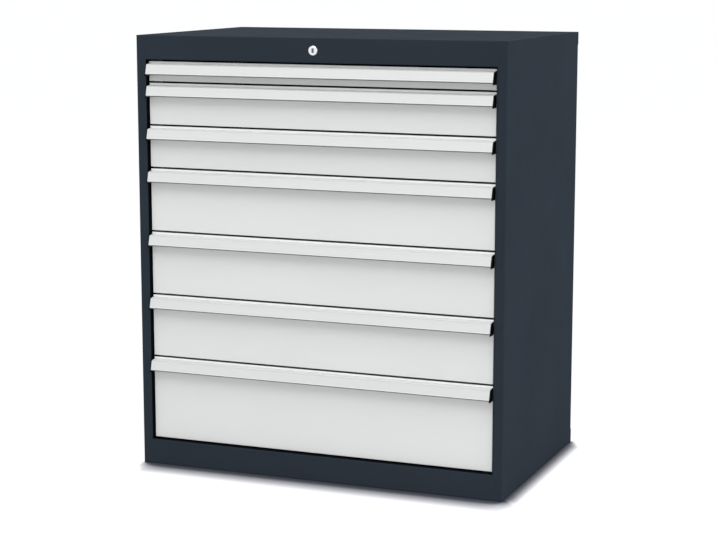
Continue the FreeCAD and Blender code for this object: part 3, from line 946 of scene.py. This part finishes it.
def slotted_tray(low, high):
    """Tray with slots, set out from the middle of each side wall and of the rear wall."""
    shape = hemmed_tray(low, high)
    slot_low, slot_high = low.z + SLOT_FROM_FLOOR, high.z - SLOT_FROM_TOP
    bands_x, bands_y = slot_bands(low.x, high.x), slot_bands(low.y, high.y)
    for place in [value for band in bands_x for value in band]:
        cut_across(shape, (place, 0, 0), (1, 0, 0))
    for place in [value for band in bands_y for value in band]:
        cut_across(shape, (0, place, 0), (0, 1, 0))
    for place in (slot_low, slot_high):
        cut_across(shape, (0, 0, place), (0, 0, 1))
    slots = []
    for face in shape.faces:
        middle = face.calc_center_median()
        if slot_low < middle.z < slot_high:
            side_slot = abs(face.normal.x) > WALL_FACING and in_band(middle.y, bands_y)
            rear_slot = face.normal.y > WALL_FACING and in_band(middle.x, bands_x)
            if side_slot or rear_slot:
                slots.append(face)
    bmesh.ops.delete(shape, geom=slots, context="FACES")
    return shape


for number in range(1, DRAWER_COUNT + 1):
    node_name = f"drawer_{number}_box"
    low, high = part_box(node_name)
    tray = new_piece(
        f"drawer_tray_{number}", slotted_tray(low, high), anthracite_coat,
        f"drawer_{number}", [node_name], BOX_SHEET,
    )
    print("tray", number, "faces", len(tray.data.polygons))

# %% [markdown]
# ## Lock bezel
# The lock is the one bright detail in the dark rail. Its fixed bezel is a turned part, so a half
# section spun about the lock's own axis makes it, with its front edge drawn as a quarter circle.

# %% Lock bezel
BARREL_RADIUS = 0.009
BORE_RADIUS = 0.00655
BEZEL_HEIGHT = 0.003
BEZEL_RADIUS = 0.0113
BEZEL_ROUND = 0.0028
BEZEL_STEP = 15
TURNED_STEPS = 64

barrel_low, barrel_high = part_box("lock_barrel")
lock_x = (barrel_low.x + barrel_high.x) / 2
lock_z = (barrel_low.z + barrel_high.z) / 2
bezel_rear = barrel_low.y + BEZEL_HEIGHT


def turned(section):
    """Closed section of (radius, y) places, spun once about the lock's axis."""
    shape = bmesh.new()
    ring = [shape.verts.new((lock_x + radius, y, lock_z)) for radius, y in section]
    edges = [shape.edges.new(pair) for pair in zip(ring, ring[1:] + ring[:1])]
    bmesh.ops.spin(
        shape, geom=ring + edges, cent=(lock_x, 0, lock_z), axis=(0, 1, 0),
        angle=math.tau, steps=TURNED_STEPS, use_merge=True,
    )
    return shape


bezel_curve = []
for turn in range(0, 90 + 1, BEZEL_STEP):
    inward = BEZEL_ROUND * (1 - math.cos(math.radians(turn)))
    behind = BEZEL_ROUND * (1 - math.sin(math.radians(turn)))
    bezel_curve.append((BEZEL_RADIUS - inward, barrel_low.y + behind))
bezel_section = [
    (BORE_RADIUS, barrel_high.y), (BARREL_RADIUS, barrel_high.y), (BARREL_RADIUS, bezel_rear),
    (BEZEL_RADIUS, bezel_rear), *bezel_curve, (BORE_RADIUS, barrel_low.y),
]
bezel = new_piece(
    "lock_bezel", turned(bezel_section), lock_chrome, "housing", ["lock_barrel"]
)
print("bezel faces", len(bezel.data.polygons))

# %% [markdown]
# ## Lock core
# The core turns inside the bezel with the key. Its face is a disc whose keyhole is cut out along
# four planes, dished at the mouth and pushed deep. The keyhole gets painted shade inside, while the
# face round it is polished and only a little darker than the bezel. A square tang at the rear
# carries the crank.

# %% Lock core
CORE_RADIUS = 0.0065
TANG_WIDTH = 0.008
TANG_LENGTH = 0.0034
KEYHOLE_WIDTH = 0.0060
KEYHOLE_HEIGHT = 0.0100
KEYHOLE_DISH = 0.0012
KEYHOLE_DEPTH = 0.008
KEYHOLE_NARROW = (0.5, 0.86)
# painted shade inside the keyhole; the core's face is only a little darker than the bezel
KEYHOLE_PAINTED_SHADE = 0.5
CORE_TONE = 0.1

core_low, core_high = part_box("lock_core")
core_centre = Vector((lock_x, core_low.y, lock_z))


def at_keyhole(place):
    beside, level = abs(place.x - lock_x), abs(place.z - lock_z)
    return beside < KEYHOLE_WIDTH / 2 and level < KEYHOLE_HEIGHT / 2


def keyed_core():
    shape = bmesh.new()
    turn = Matrix.Translation(core_centre) @ Matrix.Rotation(math.radians(90), 4, "X")
    bmesh.ops.create_circle(
        shape, cap_ends=True, segments=TURNED_STEPS, radius=CORE_RADIUS, matrix=turn
    )
    for side in (-KEYHOLE_WIDTH / 2, KEYHOLE_WIDTH / 2):
        cut_across(shape, (lock_x + side, 0, 0), (1, 0, 0))
    for side in (-KEYHOLE_HEIGHT / 2, KEYHOLE_HEIGHT / 2):
        cut_across(shape, (0, 0, lock_z + side), (0, 0, 1))
    mouth = [face for face in shape.faces if at_keyhole(face.calc_center_median())]
    for depth, (narrow_x, narrow_z) in (
        (KEYHOLE_DISH, KEYHOLE_NARROW), (KEYHOLE_DEPTH, (1.0, 1.0)),
    ):
        sunk = bmesh.ops.extrude_face_region(shape, geom=mouth)
        bmesh.ops.delete(shape, geom=mouth, context="FACES_KEEP_BOUNDARY")
        mouth = made_by(sunk, bmesh.types.BMFace)
        bmesh.ops.scale(
            shape, vec=Vector((narrow_x, 1.0, narrow_z)), space=Matrix.Translation(-core_centre),
            verts=made_by(sunk),
        )
        bmesh.ops.translate(shape, vec=(0, depth, 0), verts=made_by(sunk))
    rim = [
        edge for edge in edges_where(shape, lambda at: abs(at.y - core_low.y) < NEAR)
        if edge.is_boundary
    ]
    barrel = bmesh.ops.extrude_edge_only(shape, edges=rim)
    barrel_length = core_high.y - core_low.y - TANG_LENGTH
    bmesh.ops.translate(shape, vec=(0, barrel_length, 0), verts=made_by(barrel))
    bmesh.ops.contextual_create(shape, geom=[edge for edge in shape.edges if edge.is_boundary])
    return shape


def core_painted_shade(face):
    """Painted shade inside the keyhole; the face round it only a little darker."""
    middle = face.calc_center_median()
    return KEYHOLE_PAINTED_SHADE if at_keyhole(middle) and middle.y > core_low.y + NEAR else CORE_TONE


core = new_piece(
    "lock_core_face", keyed_core(), lock_chrome, "lock_rotor", ["lock_core"],
    tone=core_painted_shade,
)
tang_size = Vector((TANG_WIDTH, TANG_LENGTH, TANG_WIDTH))
tang_middle = Vector((lock_x, core_high.y - TANG_LENGTH / 2, lock_z))
tang = new_piece(
    "lock_tang", block(tang_size, tang_middle), lock_chrome, "lock_rotor",
    ["lock_core"],
)
print("core faces", len(core.data.polygons), "tang faces", len(tang.data.polygons))
